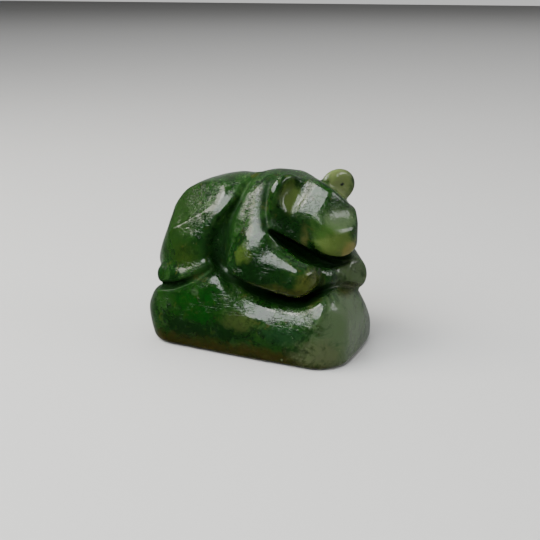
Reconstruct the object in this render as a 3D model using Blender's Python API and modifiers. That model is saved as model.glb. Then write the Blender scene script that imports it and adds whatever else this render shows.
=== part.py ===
"""Jade bear lying on a rock, carved in one piece."""

import math

import bpy
import numpy as np

NAME = "jade_bear_carving"
COLLECTION = "Jade bear carving"

# Sizes and places of the carving in millimetres. X runs towards the head, Z up,
# and the side with the open view of the face is the one towards minus Y. Limbs and
# flats that both sides share are given for one side, with Y as distance from the middle.
# A flat is a place on it, the way it faces and the rounding of its edge. The flats of
# the rock's front and those of the ridge on the haunch share one rounding each.
MM = 0.001
ROCK_HALF_LENGTH = 22.9
ROCK_HALF_DEPTH = 14.0
ROCK_CORNER = 7.4
ROCK_WIDEST_HEIGHT = 8.5
ROCK_LEAN_ABOVE = 0.020
ROCK_TUCK_OF_SIDES = 0.015
ROCK_TUCK_OF_TAIL_END = 0.010
ROCK_TAIL_END_FROM = 20.0
ROCK_CREST = 12.6
ROCK_TOP_ROUNDING = 5.5
ROCK_TAIL_TOP_ROUNDING = 1.6
ROCK_TOP_EASE = 0.85
ROCK_FOOT_ROUNDING = 1.4
ROCK_KNOLLS = [(-14.0, 6.0, 3.4), (-4.2, 5.4, 5.2), (19.5, 4.0, 3.2)]
ROCK_FLATS = [
    ((-22.1, 0.0, 9.8), (-0.74, 0.0, 0.67), 3.0),
    ((21.4, 6.6, 8.8), (0.745, 0.49, 0.447), 1.0),
    ((22.8, 4.0, 8.0), (0.98, 0.14, 0.05), 0.3),
    ((20.9, -10.9, 8.5), (0.78, -0.62, 0.02), 0.5),
]
ROCK_TAIL_END_TO_TOP = 8.0
ROCK_FRONT_LEFT = ((10.0, -12.75, 10.45), (0.10, -0.81, 0.58))
ROCK_FRONT_RIGHT = ((17.0, -13.2, 11.2), (-0.12, -0.86, 0.50))
ROCK_FRONT_END = ((-0.8, -12.0, 14.0), (0.73, 0.0, 0.69))
ROCK_FRONT_VALLEY = 1.5
ROCK_FRONT_EDGE = 0.8

TRUNK = ((-1.0, 0.0, 22.0), (18.0, 10.0, 13.9))
HUMP = ((5.0, 0.0, 28.8), (9.5, 7.4, 8.8))
CHEST = ((13.0, -2.0, 17.5), (6.5, 8.0, 4.0))
HAUNCH = ((-7.7, 0.0, 20.0), (16.0, 12.8, 16.7))
RUMP_FLATS = [
    ((-22.9, 0.0, 17.0), (-0.93, 0.0, 0.36), 1.0),
    ((-22.9, 4.0, 17.0), (-0.85, 0.40, 0.34), 1.0),
    ((-16.2, 0.0, 31.9), (-0.656, 0.0, 0.755), 1.5),
    ((-9.0, 0.0, 35.0), (-0.25, 0.0, 0.968), 1.5),
]
HAUNCH_RIDGE = (-6.3, 9.6, 30.6)
HAUNCH_ABOVE_RIDGE = (-0.33, 0.70, 0.63)
HAUNCH_BEVEL = (-0.26, 0.78, 0.57)
HAUNCH_BEVEL_DEPTH = 0.08
HAUNCH_BELOW_RIDGE = (-0.20, 0.88, 0.43)
HAUNCH_RIDGE_ROUNDING = 0.5
THIGH_FLAT = ((-6.0, 11.6, 24.0), (0.1, 0.97, 0.15), 0.6)
THIGH_FRONT = -6.3
THIGH_SLANT_FROM = 22.5
THIGH_SLANT = 0.055
THIGH_FRONT_ROUNDING = 1.8
TAIL = ((-20.6, 0.0, 21.8), (-21.8, 0.0, 17.8), 1.0, 1.3)
HIND_FOOT = [(-16.9, 9.4, 15.0), (-12.0, 11.3, 15.9), (-6.8, 11.2, 18.2)]
HIND_FOOT_RADII = [2.7, 2.3, 1.5]
HIND_FOOT_FLAT = ((-9.3, 12.5, 17.9), (0.0, 0.82, 0.57), 0.3)
SHOULDER = ((4.6, 2.5, 30.0), (3.4, 7.0, 22.8), 6.2, 6.0)
ELBOW_FLAT = ((4.5, 11.7, 26.3), (0.05, 0.82, 0.57), 0.6)
SHOULDER_BACK = ((2.6, 12.4, 24.6), (-0.48, 0.77, 0.41), 0.5)
FOREARM = ((3.2, 8.2, 20.4), (12.1, 9.6, 18.6), 6.9, 4.6)
FOREARM_RIDGE = (10.9, 13.2, 22.0)
FOREARM_TOP = (0.36, 0.28, 0.89)
FOREARM_OUTSIDE = (0.03, 0.98, 0.18)
FOREARM_BEVEL = (0.10, 0.85, 0.52)
FOREARM_BEVEL_DEPTH = 0.5
FOREARM_RIDGE_REACH = 0.8
FOREARM_UNDERSIDE = ((5.0, 13.5, 16.0), (-0.30, 0.25, -0.92), 1.5)
FAR_PAW = ((12.0, 8.5, 20.0), (19.0, 0.8, 16.8), 4.6, 4.4)
FAR_PAW_FLATS = [
    ((22.6, 0.0, 17.0), (0.88, -0.42, 0.22), 0.5),
    ((20.2, -3.0, 16.2), (0.30, -0.50, -0.81), 0.3),
]
CRISP = 0.3

# The head has its own axes, turned about Z: forward along the muzzle, across to its
# far side, and up.
HEAD_PLACE = (12.0, 1.0, 0.0)
HEAD_TURN = -35.0
CHEEKS = ((-2.0, 0.0, 26.6), (8.6, 9.3, 8.0))
CHEEK_FILLET = 2.0
SNOUT_PLACE = 4.9
SNOUT_SIZE = (6.0, 5.0, 4.2)
SNOUT_FLATS = [
    ((7.9, 0.0, 30.2), (0.66, 0.0, 0.75), 0.9),
    ((0.0, 0.0, 30.6), (0.0, 0.0, 1.0), 1.0),
]
CHIN_HEIGHT = 21.7
CHIN_TIP = 10.5
CHIN_RISE_BACKWARD = 0.126
CHIN_RISE_SIDEWAYS = 0.19
CHIN_ROUNDING = 2.2
SKULL = ((-1.0, 0.0, 29.5), (9.6, 8.3, 9.0))
SKULL_FLATS = [
    ((0.0, 0.0, 36.6), (0.06, 0.0, 1.0), 1.5),
    ((7.8, 3.0, 32.2), (0.486, 0.614, 0.622), 0.6),
    ((7.9, 0.0, 31.5), (0.97, 0.0, 0.24), 0.6),
]
FAR_CROWN_FLAT = ((1.8, -0.7, 36.6), (0.14, 0.65, 0.75), 0.8)
SKULL_FILLET = 1.2
NEAR_EAR = ((0.6, -7.4, 33.0), (0.98, 0.16, 0.0), (2.2, 4.6, 5.0))
NEAR_EAR_CUP = ((3.0, -6.4, 33.6), (0.98, 0.16, 0.0), (2.5, 4.1, 3.9))
EAR_SCOOP = ((2.6, -9.6, 32.8), (3.0, -5.4, 38.0), 3.0, 3.0)
FAR_EAR = ((-0.8, 6.1, 33.8), (1.0, 0.0, 0.0), (1.6, 4.2, 3.5))
FAR_EAR_CUP = ((1.7, 6.9, 33.7), (1.0, 0.0, 0.0), (1.4, 2.8, 3.0))
EAR_FILLET = 1.0
CUP_ROUNDING = 0.9

# Fillets between the masses of the body.
HAUNCH_FILLET = 2.0
TAIL_FILLET = 0.8
FOOT_FILLET = 1.4
SHOULDER_FILLET = 1.0
HUMP_FILLET = 2.0
ARM_FILLET = 1.0
CHEST_FILLET = 1.5
HEAD_FILLET = 1.2
ROCK_FILLET = 1.2

# Creases: the stations of each and how far the crease has faded at them.
BEHIND_SHOULDER = [(0.4, 0.0, 37.4), (0.2, 2.6, 36.4), (-0.9, 5.0, 34.4), (-1.6, 6.8, 31.9),
                   (-2.5, 8.7, 29.0), (-3.1, 10.0, 25.5), (-3.2, 10.6, 21.8), (-2.8, 11.0, 18.8)]
BEHIND_SHOULDER_FADING = [1.1, 0.9, 0.2, 0.0, 0.0, 0.0, 0.0, 0.0]
BEHIND_SHOULDER_DEPTH = 0.9
BEHIND_SHOULDER_REACH = 1.8
NECK = [(4.3, -4.6, 36.8), (4.5, -6.0, 35.0), (4.7, -7.6, 32.6), (5.1, -8.9, 30.2), (6.0, -9.8, 28.0)]
NECK_FADING = [0.9, 0.2, 0.0, 0.0, 0.0]
NECK_DEPTH = 0.7
NECK_REACH = 1.4
CREASE_STRETCH_ALONG_Y = 4.0
CREASE_BOTTOM = 0.25

# Carved grooves: the stations of each and the groove's radius at them.
UNDER_JAW = [(6.6, -9.6, 27.0), (8.9, -8.6, 25.1), (12.0, -8.0, 23.2),
             (14.5, -7.4, 21.8), (17.5, -6.4, 20.9), (20.0, -4.5, 21.0)]
UNDER_JAW_RADII = [0.4, 1.0, 1.3, 1.4, 1.2, 0.7]
UNDER_JAW_DEPTH = 4.0
UNDER_JAW_FALL = 0.36
PAW_END = [(16.9, -9.3, 20.8), (17.4, -8.9, 18.8), (17.1, -8.9, 16.8), (15.5, -9.6, 14.9)]
PAW_END_RADII = [0.5, 0.7, 0.7, 0.5]
UNDER_FOREARM = [(-1.5, 12.8, 18.6), (1.5, 13.4, 16.6), (5.0, 13.8, 14.8),
                 (10.0, 14.0, 13.5), (15.0, 13.5, 14.0), (17.5, 12.0, 15.6)]
UNDER_FOREARM_RADII = [0.5, 0.8, 1.2, 1.4, 1.2, 0.5]
UNDER_FOOT = [(-20.8, 7.0, 12.4), (-18.4, 12.0, 13.0), (-14.0, 13.4, 13.9),
              (-8.7, 13.8, 16.2), (-5.0, 12.8, 18.8)]
UNDER_FOOT_RADII = [0.6, 0.7, 0.7, 0.6, 0.4]
UNDER_LIMB_DEPTH = 1.8
GROOVE_EDGE = 0.4


def unit(direction):
    """The direction with length one."""
    direction = np.asarray(direction, float)
    return direction / np.linalg.norm(direction)


def joined(one, other, width):
    """Both bodies as one, with a fillet of about the given width between them."""
    share = np.clip(0.5 + 0.5 * (other - one) / width, 0, 1)
    return other + (one - other) * share - width * share * (1 - share)


def shared(one, other, width):
    """What lies inside both bodies, its edge rounded over the given width."""
    return -joined(-one, -other, width)


def carved(body, tool, width):
    """The body without the tool, its edge rounded over the given width."""
    return shared(body, -tool, width)


def ellipsoid(points, centre, radii):
    """Roughly the distance to an ellipsoid that lies along the axes."""
    offset = points - np.asarray(centre)
    near = np.linalg.norm(offset / radii, axis=1)
    slope = np.linalg.norm(offset / np.square(radii), axis=1)
    return near * (near - 1) / np.maximum(slope, 1e-9)


def disc(points, centre, facing, radii):
    """An upright flattened ellipsoid: its thickness, half width and half height are the radii."""
    facing = unit(facing)
    axes = np.array([facing, (-facing[1], facing[0], 0.0), (0.0, 0.0, 1.0)])
    return ellipsoid((points - np.asarray(centre)) @ axes.T, (0.0, 0.0, 0.0), radii)


def limb(points, start, end, start_radius, end_radius):
    """A tapered round bar from start to end with domed ends."""
    axis = np.subtract(end, start)
    offset = points - np.asarray(start)
    along = np.clip(offset @ axis / (axis @ axis), 0, 1)
    radius = start_radius + (end_radius - start_radius) * along
    return np.linalg.norm(offset - along[:, None] * axis, axis=1) - radius


def route(points, stations, radii, depth=1.0, fall=0.0):
    """A round bar through the stations, stretched along Y by the depth and falling along it."""
    squeeze = np.array([(1.0, 0.0, 0.0), (0.0, 1.0 / depth, fall), (0.0, 0.0, 1.0)])
    stations = np.asarray(stations) @ squeeze
    lengths = zip(stations[:-1], stations[1:], radii[:-1], radii[1:])
    return np.minimum.reduce([limb(points @ squeeze, *length) for length in lengths])


def creased(body, points, stations, fading, depth, reach):
    """The body with a narrow valley along the stations, rolled out over its reach."""
    away = route(points, stations, np.negative(fading), CREASE_STRETCH_ALONG_Y)
    away = np.hypot(away, CREASE_BOTTOM)
    return body + depth * np.square(np.clip(1 - away / reach, 0, 1))


def flat(points, place, facing):
    """Distance in front of the flat through the place that faces the given way."""
    return (points - np.asarray(place)) @ unit(facing)


def trimmed(body, points, flats):
    """The body trimmed by a row of flats, each with its own edge rounding."""
    for place, facing, width in flats:
        body = shared(body, flat(points, place, facing), width)
    return body


def both_sides(points):
    """The points with Y as their distance from the middle."""
    return np.column_stack([points[:, 0], np.abs(points[:, 1]), points[:, 2]])


def rounded_bar(along, across, half_length, half_width, corner):
    """An upright bar whose plan is a rectangle with rounded corners."""
    over_length = np.abs(along) - (half_length - corner)
    over_width = np.abs(across) - (half_width - corner)
    outside = np.hypot(np.maximum(over_length, 0), np.maximum(over_width, 0))
    return outside + np.minimum(np.maximum(over_length, over_width), 0) - corner


def rock(points):
    """The rock base: it bulges at mid height and its upper edge rises in knolls."""
    x, y, z = points.T
    side = rounded_bar(x, y, ROCK_HALF_LENGTH, ROCK_HALF_DEPTH, ROCK_CORNER)
    tuck = ROCK_TUCK_OF_SIDES * np.clip(np.abs(y) / ROCK_HALF_DEPTH, 0, 1) ** 2
    tuck = tuck + ROCK_TUCK_OF_TAIL_END * np.clip(-x / ROCK_TAIL_END_FROM, 0, 1)
    side = side + np.minimum(z - ROCK_WIDEST_HEIGHT, 0) ** 2 * tuck
    side = side + np.maximum(z - ROCK_WIDEST_HEIGHT, 0) ** 2 * ROCK_LEAN_ABOVE
    crest = ROCK_CREST
    for place, width, height in ROCK_KNOLLS:
        crest = crest + height * np.exp(-((x - place) / width) ** 2)
    tailward = np.clip(-x / ROCK_TAIL_END_TO_TOP, 0, 1)
    rounding = ROCK_TOP_ROUNDING + (ROCK_TAIL_TOP_ROUNDING - ROCK_TOP_ROUNDING) * tailward
    body = shared(side, (z - crest) * ROCK_TOP_EASE, rounding)
    body = trimmed(body, points, ROCK_FLATS)
    front = joined(flat(points, *ROCK_FRONT_LEFT), flat(points, *ROCK_FRONT_RIGHT), ROCK_FRONT_VALLEY)
    front = joined(front, flat(points, *ROCK_FRONT_END), ROCK_FRONT_VALLEY)
    body = shared(body, front, ROCK_FRONT_EDGE)
    return shared(body, -z, ROCK_FOOT_ROUNDING)


def haunches(points):
    """The rump and thighs, faceted as they were ground."""
    sides = both_sides(points)
    body = trimmed(ellipsoid(points, *HAUNCH), sides, RUMP_FLATS)
    upper = flat(sides, HAUNCH_RIDGE, HAUNCH_ABOVE_RIDGE)
    lower = flat(sides, HAUNCH_RIDGE, HAUNCH_BELOW_RIDGE)
    bevel = flat(sides, HAUNCH_RIDGE, HAUNCH_BEVEL) + HAUNCH_BEVEL_DEPTH
    body = shared(body, np.maximum.reduce([upper, bevel, lower]), HAUNCH_RIDGE_ROUNDING)
    body = trimmed(body, sides, [THIGH_FLAT])
    slant = THIGH_SLANT * np.maximum(points[:, 2] - THIGH_SLANT_FROM, 0) ** 2
    return shared(body, points[:, 0] - THIGH_FRONT - slant, THIGH_FRONT_ROUNDING)


def hind_feet(points):
    """The hind feet, laid forward along the rock."""
    sides = both_sides(points)
    return trimmed(route(sides, HIND_FOOT, HIND_FOOT_RADII), sides, [HIND_FOOT_FLAT])


def shoulders(points):
    """The shoulders and upper arms, down to the elbows."""
    sides = both_sides(points)
    return trimmed(limb(sides, *SHOULDER), sides, [ELBOW_FLAT, SHOULDER_BACK])


def forearms(points):
    """The forearms laid along the rock, with a ridge between the top and the outside."""
    sides = both_sides(points)
    top = flat(sides, FOREARM_RIDGE, FOREARM_TOP)
    outside = flat(sides, FOREARM_RIDGE, FOREARM_OUTSIDE)
    bevel = flat(sides, FOREARM_RIDGE, FOREARM_BEVEL) + FOREARM_BEVEL_DEPTH
    ground = shared(shared(top, outside, CRISP), bevel, CRISP)
    body = shared(limb(sides, *FOREARM), ground, FOREARM_RIDGE_REACH)
    return trimmed(body, sides, [FOREARM_UNDERSIDE, SHOULDER_BACK])


def far_paw(points):
    """The far forepaw, folded in front of the chest."""
    return trimmed(limb(points, *FAR_PAW), points, FAR_PAW_FLATS)


def head_axes(points):
    """The points in the head's own axes."""
    turn = math.radians(HEAD_TURN)
    forward = (math.cos(turn), math.sin(turn), 0.0)
    across = (-math.sin(turn), math.cos(turn), 0.0)
    return (points - np.asarray(HEAD_PLACE)) @ np.array([forward, across, (0.0, 0.0, 1.0)]).T


def jaw(local):
    """The cheeks and the muzzle, down to the line of the lower jaw."""
    forward, across, up = local.T
    snout = rounded_bar(forward - SNOUT_PLACE, across, *SNOUT_SIZE)
    snout = trimmed(snout, local, SNOUT_FLATS)
    body = joined(ellipsoid(local, *CHEEKS), snout, CHEEK_FILLET)
    rise = CHIN_RISE_BACKWARD * (CHIN_TIP - forward) + CHIN_RISE_SIDEWAYS * np.abs(across)
    return shared(body, CHIN_HEIGHT + rise - up, CHIN_ROUNDING)


def head(points):
    """The turned head: skull with flats on crown, forehead and face, jaw and cupped ears."""
    local = head_axes(points)
    skull = trimmed(ellipsoid(local, *SKULL), both_sides(local), SKULL_FLATS)
    skull = trimmed(skull, local, [FAR_CROWN_FLAT])
    body = joined(jaw(local), skull, SKULL_FILLET)
    body = carved(body, limb(local, *EAR_SCOOP), CUP_ROUNDING)
    for ear, cup in ((NEAR_EAR, NEAR_EAR_CUP), (FAR_EAR, FAR_EAR_CUP)):
        shell = carved(disc(local, *ear), disc(local, *cup), CUP_ROUNDING)
        body = joined(body, shell, EAR_FILLET)
    return body


def bear_on_rock(points):
    """Distance from each point to the surface of the whole carving, negative inside."""
    sides = both_sides(points)
    masses = [
        (haunches(points), HAUNCH_FILLET),
        (limb(points, *TAIL), TAIL_FILLET),
        (hind_feet(points), FOOT_FILLET),
        (shoulders(points), SHOULDER_FILLET),
        (ellipsoid(points, *HUMP), HUMP_FILLET),
        (forearms(points), ARM_FILLET),
        (far_paw(points), ARM_FILLET),
        (ellipsoid(points, *CHEST), CHEST_FILLET),
        (head(points), HEAD_FILLET),
        (rock(points), ROCK_FILLET),
    ]
    grooves = [
        route(points, UNDER_JAW, UNDER_JAW_RADII, UNDER_JAW_DEPTH, UNDER_JAW_FALL),
        route(points, PAW_END, PAW_END_RADII, UNDER_LIMB_DEPTH),
        route(sides, UNDER_FOREARM, UNDER_FOREARM_RADII, UNDER_LIMB_DEPTH),
        route(sides, UNDER_FOOT, UNDER_FOOT_RADII, UNDER_LIMB_DEPTH),
    ]
    body = ellipsoid(points, *TRUNK)
    for mass, fillet in masses:
        body = joined(body, mass, fillet)
    body = creased(body, sides, BEHIND_SHOULDER, BEHIND_SHOULDER_FADING,
                   BEHIND_SHOULDER_DEPTH, BEHIND_SHOULDER_REACH)
    body = creased(body, points, NECK, NECK_FADING, NECK_DEPTH, NECK_REACH)
    for groove in grooves:
        body = carved(body, groove, GROOVE_EDGE)
    return body


# The grid that the surface is read on, and how its mesh is finished.
GRID_FROM = (-24.6, -15.4, -1.2)
GRID_TO = (24.6, 15.4, 39.2)
GRID_SPACING = 0.5
MESH_SPACING = 0.45
SETTLING_STROKES = 2
SETTLING_REACH = 0.15
SLOPE_STEP = 0.05
LEAST_SLOPE = 0.3
EVENING = 0.5
TOOTH_HEIGHT = 0.07
TOOTH_STROKES = 6
FOOT_PLANE = 0.03
TRIANGLES = 9000

JADE_GREEN = (0.035, 0.10, 0.022, 1.0)
JADE_ROUGHNESS = 0.22


def clear_scene():
    """Start from an empty scene."""
    for thing in list(bpy.data.objects):
        bpy.data.objects.remove(thing, do_unlink=True)


def jade():
    """Polished deep green nephrite."""
    material = bpy.data.materials.new("nephrite_jade")
    material.use_nodes = True
    shader = material.node_tree.nodes["Principled BSDF"]
    shader.inputs["Base Color"].default_value = JADE_GREEN
    shader.inputs["Roughness"].default_value = JADE_ROUGHNESS
    shader.inputs["Metallic"].default_value = 0.0
    return material


def gaps_on_grid():
    """Distance to the carved surface at each crossing of an even grid."""
    rows = [np.arange(low, high, GRID_SPACING) for low, high in zip(GRID_FROM, GRID_TO)]
    gaps = np.empty([len(row) for row in rows])
    for index, x in enumerate(rows[0]):
        slab = np.stack(np.meshgrid([x], rows[1], rows[2], indexing="ij"), axis=-1)
        gaps[index] = bear_on_rock(slab.reshape(-1, 3)).reshape(slab.shape[1:3])
    return gaps


def crossings(gaps, axis):
    """Where the surface crosses the grid's edges along one axis, and where it faces onward."""
    start = np.moveaxis(gaps, axis, 0)[:-1]
    end = np.moveaxis(gaps, axis, 0)[1:]
    edges = np.argwhere((start < 0) != (end < 0))
    start = start[tuple(edges.T)]
    end = end[tuple(edges.T)]
    edges[:, :axis + 1] = np.roll(edges[:, :axis + 1], -1, axis=1)
    places = edges.astype(float)
    places[:, axis] += start / (start - end)
    return edges, places, start < 0


def surface_net(gaps):
    """A net over the surface: a point in each cell it meets, a face across each edge it crosses."""
    cells = np.array(gaps.shape) - 1
    total = np.zeros((*cells, 3))
    count = np.zeros(cells, int)
    rings = []
    for axis in range(3):
        edges, places, onward = crossings(gaps, axis)
        beside, beyond = np.eye(3, dtype=int)[[(axis + 1) % 3, (axis + 2) % 3]]
        ring = [edges - step for step in (0 * beside, beside, beside + beyond, beyond)]
        for cell in ring:
            np.add.at(total, tuple(cell.T), places)
            np.add.at(count, tuple(cell.T), 1)
        rings.append((ring, onward))
    met = count > 0
    number = np.cumsum(met).reshape(met.shape) - 1
    faces = []
    for ring, onward in rings:
        corners = np.stack([number[tuple(cell.T)] for cell in ring], axis=1)
        corners[~onward] = corners[~onward, ::-1]
        faces.append(corners)
    return total[met] / count[met][:, None], np.concatenate(faces)


def rough_body(collection):
    """The carving as the grid gives it."""
    places, faces = surface_net(gaps_on_grid())
    points = (np.array(GRID_FROM) + places * GRID_SPACING) * MM
    mesh = bpy.data.meshes.new(NAME)
    mesh.from_pydata(points.tolist(), [], faces.tolist())
    body = bpy.data.objects.new(NAME, mesh)
    collection.objects.link(body)
    return body


def remesh(body):
    """Lay an even closed mesh over the body and keep it."""
    grain = body.modifiers.new("grain", "REMESH")
    grain.mode = "VOXEL"
    grain.voxel_size = MESH_SPACING * MM
    graph = bpy.context.evaluated_depsgraph_get()
    mesh = bpy.data.meshes.new_from_object(body.evaluated_get(graph))
    rough = body.data
    body.modifiers.clear()
    body.data = mesh
    bpy.data.meshes.remove(rough)
    mesh.name = NAME


def settled(points):
    """The points moved onto the carved surface in short strokes."""
    for _ in range(SETTLING_STROKES):
        slope = np.empty_like(points)
        for axis, step in enumerate(np.eye(3) * SLOPE_STEP):
            slope[:, axis] = bear_on_rock(points + step) - bear_on_rock(points - step)
        slope /= 2 * SLOPE_STEP
        steepness = np.maximum(np.linalg.norm(slope, axis=1), LEAST_SLOPE)
        move = slope * (bear_on_rock(points) / steepness ** 2)[:, None]
        length = np.maximum(np.linalg.norm(move, axis=1), SETTLING_REACH)
        points = points - move * (SETTLING_REACH / length)[:, None]
    return points


def evened(points, edges, least=0.0):
    """The points moved part of the way to their neighbours' middle, where that is far enough."""
    total = np.zeros_like(points)
    count = np.zeros(len(points))
    for here, there in (edges.T, edges.T[::-1]):
        np.add.at(total, here, points[there])
        np.add.at(count, here, 1)
    move = total / count[:, None] - points
    move[np.linalg.norm(move, axis=1) < least] = 0.0
    return points + EVENING * move


def finish(body):
    """Move the mesh onto the carved surface, with its points evenly spread."""
    vertices = body.data.vertices
    points = np.empty(len(vertices) * 3)
    vertices.foreach_get("co", points)
    edges = np.empty(len(body.data.edges) * 2, int)
    body.data.edges.foreach_get("vertices", edges)
    edges = edges.reshape(-1, 2)
    points = settled(points.reshape(-1, 3) / MM)
    points = settled(evened(points, edges))
    for _ in range(TOOTH_STROKES):
        points = evened(points, edges, TOOTH_HEIGHT)
    points[points[:, 2] < FOOT_PLANE, 2] = 0.0
    vertices.foreach_set("co", (points * MM).ravel())
    body.data.update()


def thin_out(body):
    """Fewer and larger facets where the surface is plain."""
    triangles = sum(len(face.vertices) - 2 for face in body.data.polygons)
    thinner = body.modifiers.new("thinner", "DECIMATE")
    thinner.ratio = TRIANGLES / triangles


def build():
    """Carve the bear and its rock as one piece."""
    clear_scene()
    collection = bpy.data.collections.new(COLLECTION)
    bpy.context.scene.collection.children.link(collection)
    body = rough_body(collection)
    remesh(body)
    finish(body)
    body.data.materials.append(jade())
    body.data.shade_smooth()
    thin_out(body)


build()
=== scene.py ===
"""Jade bear lying on a rock: fine carved surface, nephrite material, camera and studio light."""

import math

import bpy
import numpy as np
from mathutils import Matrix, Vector


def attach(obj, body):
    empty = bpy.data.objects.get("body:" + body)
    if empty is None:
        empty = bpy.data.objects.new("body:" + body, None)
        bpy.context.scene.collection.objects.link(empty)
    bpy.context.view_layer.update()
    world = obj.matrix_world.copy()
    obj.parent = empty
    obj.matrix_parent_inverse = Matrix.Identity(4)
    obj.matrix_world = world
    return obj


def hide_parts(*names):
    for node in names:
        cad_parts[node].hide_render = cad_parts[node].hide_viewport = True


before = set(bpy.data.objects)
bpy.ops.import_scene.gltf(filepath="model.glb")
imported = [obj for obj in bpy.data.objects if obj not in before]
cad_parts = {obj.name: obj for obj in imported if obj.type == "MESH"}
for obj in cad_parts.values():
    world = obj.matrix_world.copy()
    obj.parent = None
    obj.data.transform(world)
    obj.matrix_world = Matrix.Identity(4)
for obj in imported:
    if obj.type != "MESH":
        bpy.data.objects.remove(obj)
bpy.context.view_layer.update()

NODE = "jade_bear_carving"
PIECE = "carved_jade_bear"

# Sizes and places of the carving in millimetres. X runs towards the head, Z up,
# and the side with the open view of the face is the one towards minus Y. Limbs and
# flats that both sides share are given for one side, with Y as distance from the middle.
# A flat is a place on it, the way it faces and the rounding of its edge. The flats of
# the rock's front and those of the ridge on the haunch share one rounding each.
MM = 0.001
ROCK_HALF_LENGTH = 22.9
ROCK_HALF_DEPTH = 14.0
ROCK_CORNER = 7.4
ROCK_WIDEST_HEIGHT = 8.5
ROCK_LEAN_ABOVE = 0.020
ROCK_TUCK_OF_SIDES = 0.015
ROCK_TUCK_OF_TAIL_END = 0.010
ROCK_TAIL_END_FROM = 20.0
ROCK_CREST = 12.6
ROCK_TOP_ROUNDING = 5.5
ROCK_TAIL_TOP_ROUNDING = 1.6
ROCK_TOP_EASE = 0.85
ROCK_FOOT_ROUNDING = 1.4
ROCK_KNOLLS = [(-14.0, 6.0, 3.4), (-4.2, 5.4, 5.2), (19.5, 4.0, 3.2)]
ROCK_FLATS = [
    ((-22.1, 0.0, 9.8), (-0.74, 0.0, 0.67), 3.0),
    ((21.4, 6.6, 8.8), (0.745, 0.49, 0.447), 1.0),
    ((22.8, 4.0, 8.0), (0.98, 0.14, 0.05), 0.3),
    ((20.9, -10.9, 8.5), (0.78, -0.62, 0.02), 0.5),
]
ROCK_TAIL_END_TO_TOP = 8.0
ROCK_FRONT_LEFT = ((10.0, -12.75, 10.45), (0.10, -0.81, 0.58))
ROCK_FRONT_RIGHT = ((17.0, -13.2, 11.2), (-0.12, -0.86, 0.50))
ROCK_FRONT_END = ((-0.8, -12.0, 14.0), (0.73, 0.0, 0.69))
ROCK_FRONT_VALLEY = 1.5
ROCK_FRONT_EDGE = 0.8

TRUNK = ((-1.0, 0.0, 22.0), (18.0, 10.0, 13.9))
HUMP = ((5.0, 0.0, 28.8), (9.5, 7.4, 8.8))
CHEST = ((13.0, -2.0, 17.5), (6.5, 8.0, 4.0))
HAUNCH = ((-7.7, 0.0, 20.0), (16.0, 12.8, 16.7))
RUMP_FLATS = [
    ((-22.9, 0.0, 17.0), (-0.93, 0.0, 0.36), 1.0),
    ((-22.9, 4.0, 17.0), (-0.85, 0.40, 0.34), 1.0),
    ((-16.2, 0.0, 31.9), (-0.656, 0.0, 0.755), 1.5),
    ((-9.0, 0.0, 35.0), (-0.25, 0.0, 0.968), 1.5),
]
HAUNCH_RIDGE = (-6.3, 9.6, 30.6)
HAUNCH_ABOVE_RIDGE = (-0.33, 0.70, 0.63)
HAUNCH_BEVEL = (-0.26, 0.78, 0.57)
HAUNCH_BEVEL_DEPTH = 0.08
HAUNCH_BELOW_RIDGE = (-0.20, 0.88, 0.43)
HAUNCH_RIDGE_ROUNDING = 0.5
THIGH_FLAT = ((-6.0, 11.6, 24.0), (0.1, 0.97, 0.15), 0.6)
THIGH_FRONT = -6.3
THIGH_SLANT_FROM = 22.5
THIGH_SLANT = 0.055
THIGH_FRONT_ROUNDING = 1.8
TAIL = ((-20.6, 0.0, 21.8), (-21.8, 0.0, 17.8), 1.0, 1.3)
HIND_FOOT = [(-16.9, 9.4, 15.0), (-12.0, 11.3, 15.9), (-6.8, 11.2, 18.2)]
HIND_FOOT_RADII = [2.7, 2.3, 1.5]
HIND_FOOT_FLAT = ((-9.3, 12.5, 17.9), (0.0, 0.82, 0.57), 0.3)
SHOULDER = ((4.6, 2.5, 30.0), (3.4, 7.0, 22.8), 6.2, 6.0)
ELBOW_FLAT = ((4.5, 11.7, 26.3), (0.05, 0.82, 0.57), 0.6)
SHOULDER_BACK = ((2.6, 12.4, 24.6), (-0.48, 0.77, 0.41), 0.5)
FOREARM = ((3.2, 8.2, 20.4), (12.1, 9.6, 18.6), 6.9, 4.6)
FOREARM_RIDGE = (10.9, 13.2, 22.0)
FOREARM_TOP = (0.36, 0.28, 0.89)
FOREARM_OUTSIDE = (0.03, 0.98, 0.18)
FOREARM_BEVEL = (0.10, 0.85, 0.52)
FOREARM_BEVEL_DEPTH = 0.5
FOREARM_RIDGE_REACH = 0.8
FOREARM_UNDERSIDE = ((5.0, 13.5, 16.0), (-0.30, 0.25, -0.92), 1.5)
FAR_PAW = ((12.0, 8.5, 20.0), (19.0, 0.8, 16.8), 4.6, 4.4)
FAR_PAW_FLATS = [
    ((22.6, 0.0, 17.0), (0.88, -0.42, 0.22), 0.5),
    ((20.2, -3.0, 16.2), (0.30, -0.50, -0.81), 0.3),
]
CRISP = 0.3

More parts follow.
